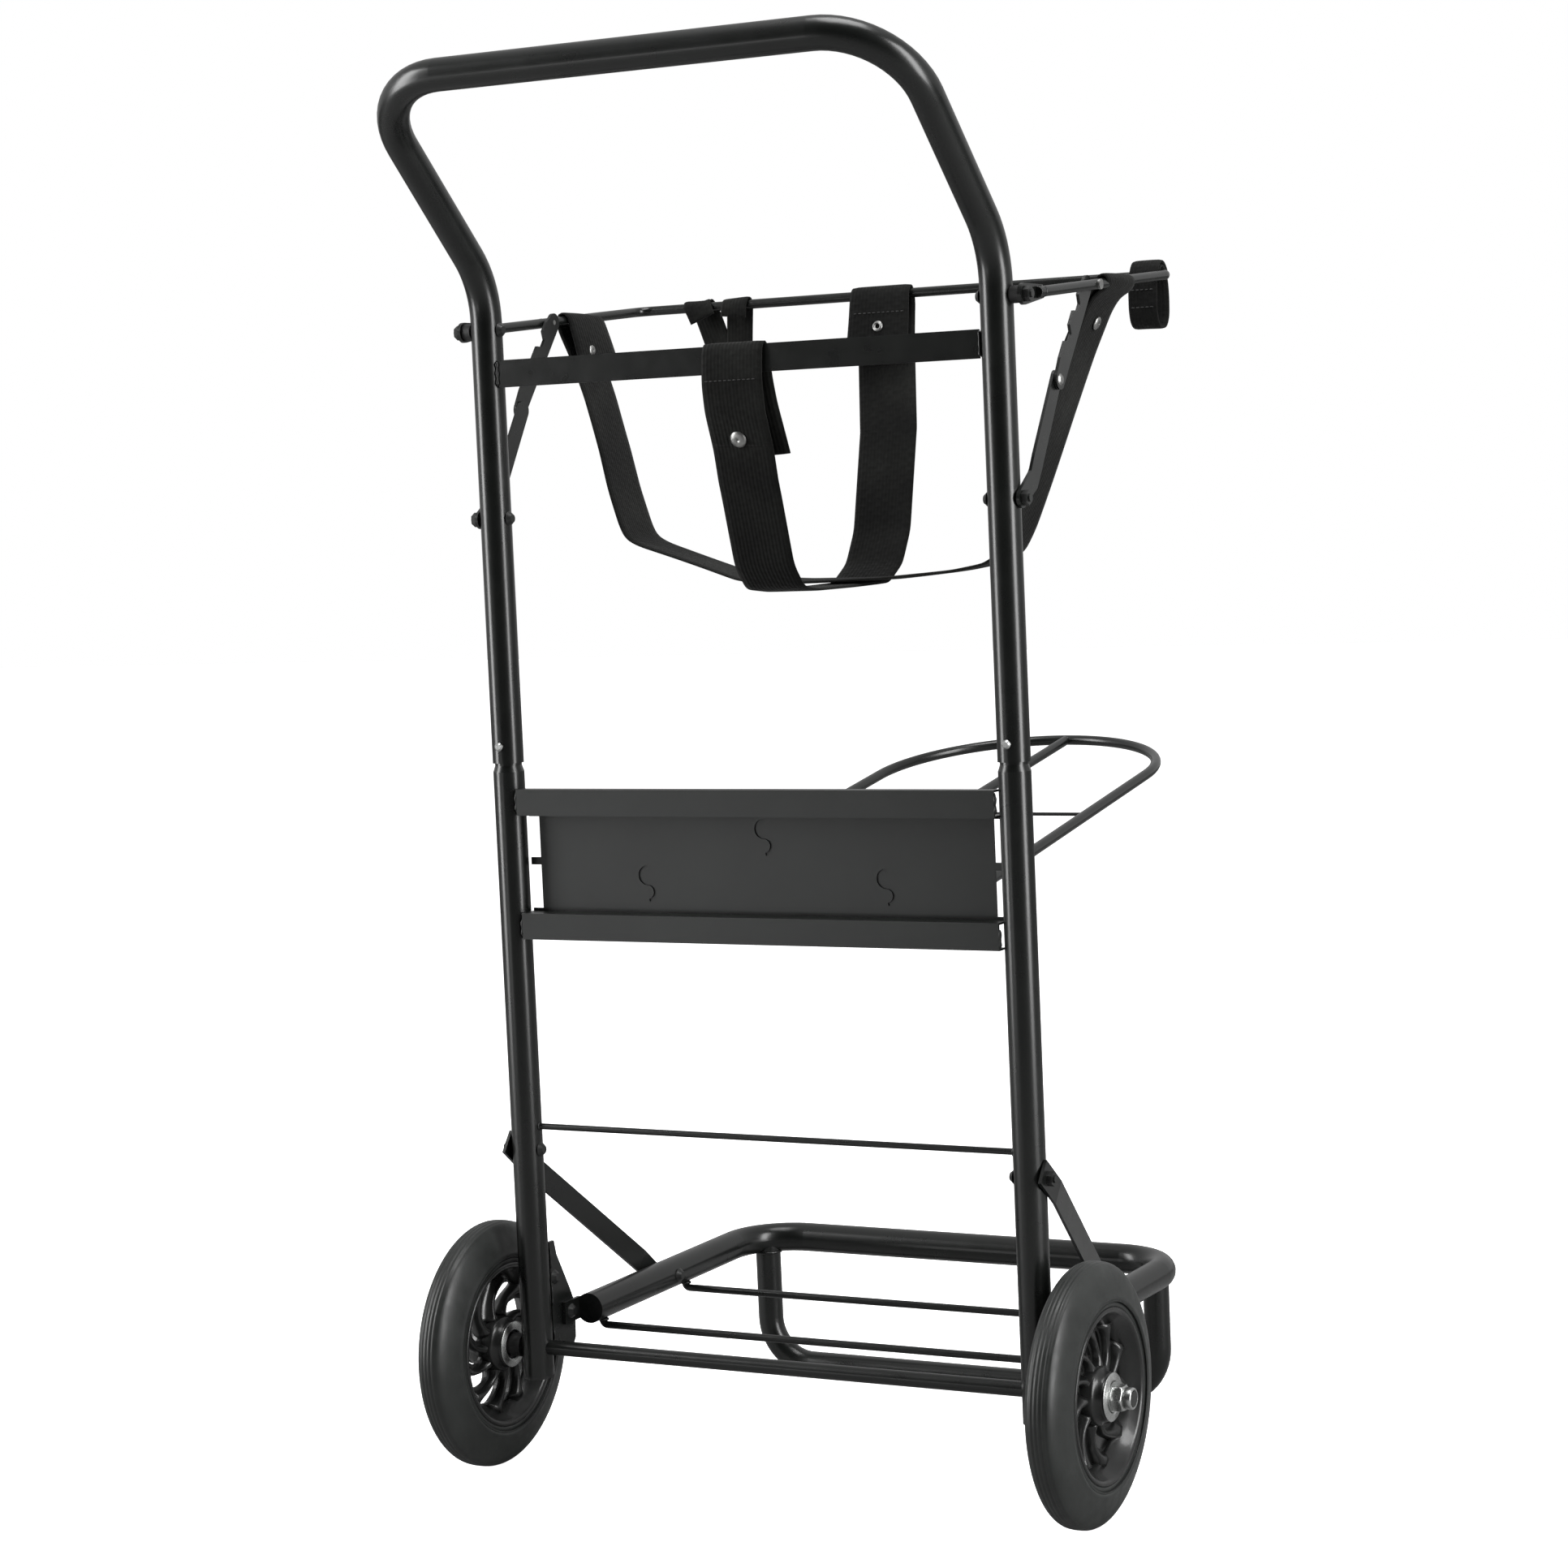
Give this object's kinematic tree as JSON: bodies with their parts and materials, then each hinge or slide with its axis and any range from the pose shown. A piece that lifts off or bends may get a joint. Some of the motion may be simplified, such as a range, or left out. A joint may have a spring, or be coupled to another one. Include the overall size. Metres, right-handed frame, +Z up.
{
  "type": "folding game cart",
  "caption": "Folding two-wheeled carrying cart with a tube handle, low platform and stand, hinged rest loop and a folding rod frame that carries crossed webbing belts.",
  "frame": {"origin": "on the floor, at the middle of the cart's outline seen from above", "axes": "+X to the right seen from behind the handle, +Y forwards over the platform, +Z up"},
  "size_m": [0.6, 0.782, 1.1165],
  "materials": {
    "black_steel": "satin black powder coat",
    "zinc_steel": "zinc plated",
    "tyre_rubber": "matte black rubber",
    "rim_plastic": "glossy black moulding",
    "black_plastic": "matte black",
    "webbing": "woven black webbing"
  },
  "bodies": {
    "cart_frame": {"upper_frame": "black_steel", "flat_crossbar": "black_steel", "lower_wire": "black_steel", "back_panel": "black_steel", "axle": "black_steel", "axle_spacers": "black_plastic", "axle_washers": "zinc_steel", "axle_nuts": "zinc_steel", "platform_hoop": "black_steel", "platform_rod_rear": "black_steel", "platform_rod_front": "black_steel", "stand": "black_steel", "post_plugs": "black_plastic", "sling_pivot_bolts": "black_steel", "stay_pivot_bolts": "black_steel", "brace_top_bolts": "black_steel", "brace_low_bolts": "black_steel", "bracket_bolts": "black_steel", "platform_bolts": "black_steel", "pivot_spacers": "black_plastic", "lower_post_left": "black_steel", "lower_post_right": "black_steel", "axle_bracket_left": "black_steel", "axle_bracket_right": "black_steel", "deck_brace_left": "black_steel", "deck_brace_right": "black_steel", "loop_bracket_left": "black_steel", "loop_bracket_right": "black_steel"},
    "wheel_left": {"tyre_left": "tyre_rubber", "rim_left": "rim_plastic", "bearings_left": "zinc_steel"},
    "wheel_right": {"tyre_right": "tyre_rubber", "rim_right": "rim_plastic", "bearings_right": "zinc_steel"},
    "sling": {"sling_frame": "black_steel", "arm_rivets": "zinc_steel", "belt_lengthwise": "webbing", "belt_cross": "webbing", "loop_strap": "webbing", "tie_strap_long": "webbing", "tie_strap_short": "webbing"},
    "lower_stay_left": {"stay_lower_left": "black_steel"},
    "upper_stay_left": {"stay_upper_left": "black_steel", "stay_rivet_left": "zinc_steel"},
    "button_left": {"snap_button_left": "zinc_steel"},
    "lower_stay_right": {"stay_lower_right": "black_steel"},
    "upper_stay_right": {"stay_upper_right": "black_steel", "stay_rivet_right": "zinc_steel"},
    "button_right": {"snap_button_right": "zinc_steel"},
    "rest_loop": {"rest_loop": "black_steel"}
  },
  "joints": [
    {"name": "wheel_left_spin", "type": "hinge", "parent": "cart_frame", "child": "wheel_left", "pos_m": [-0.264, -0.2253, 0.1], "axis": [1, 0, 0], "continuous": true},
    {"name": "wheel_right_spin", "type": "hinge", "parent": "cart_frame", "child": "wheel_right", "pos_m": [0.264, -0.2253, 0.1], "axis": [1, 0, 0], "continuous": true},
    {"name": "sling_fold", "type": "hinge", "parent": "cart_frame", "child": "sling", "pos_m": [0, -0.2253, 0.921], "axis": [-1, 0, 0], "range_deg": [0, 90], "deforming": ["belt_lengthwise", "belt_cross", "loop_strap", "tie_strap_long", "tie_strap_short"]},
    {"name": "stay_lower_left_turn", "type": "hinge", "parent": "cart_frame", "child": "lower_stay_left", "pos_m": [-0.236, -0.2253, 0.772], "axis": [1, 0, 0], "range_deg": [0, 38.5]},
    {"name": "stay_upper_left_turn", "type": "hinge", "parent": "sling", "child": "upper_stay_left", "pos_m": [-0.239, -0.09532, 0.93146], "axis": [-1, 0, 0], "range_deg": [0, 45.5]},
    {"name": "stay_lower_right_turn", "type": "hinge", "parent": "cart_frame", "child": "lower_stay_right", "pos_m": [0.236, -0.2253, 0.772], "axis": [1, 0, 0], "range_deg": [0, 38.5]},
    {"name": "stay_upper_right_turn", "type": "hinge", "parent": "sling", "child": "upper_stay_right", "pos_m": [0.239, -0.09532, 0.93146], "axis": [-1, 0, 0], "range_deg": [0, 45.5]},
    {"name": "rest_loop_lift", "type": "hinge", "parent": "cart_frame", "child": "rest_loop", "pos_m": [0, -0.2053, 0.4487], "axis": [1, 0, 0], "range_deg": [0, 40]},
    {"name": "button_left_press", "type": "slide", "parent": "cart_frame", "child": "button_left", "axis": [0, 1, 0], "range_m": [0, 0.004], "stiffness_N_per_m": 1500},
    {"name": "button_right_press", "type": "slide", "parent": "cart_frame", "child": "button_right", "axis": [0, 1, 0], "range_m": [0, 0.004], "stiffness_N_per_m": 1500}
  ],
  "couplings": [
    {"joint": "stay_lower_left_turn", "follows": "sling_fold", "ratio": 0.4267},
    {"joint": "stay_upper_left_turn", "follows": "sling_fold", "ratio": 0.504},
    {"joint": "stay_lower_right_turn", "follows": "sling_fold", "ratio": 0.4267},
    {"joint": "stay_upper_right_turn", "follows": "sling_fold", "ratio": 0.504}
  ]
}
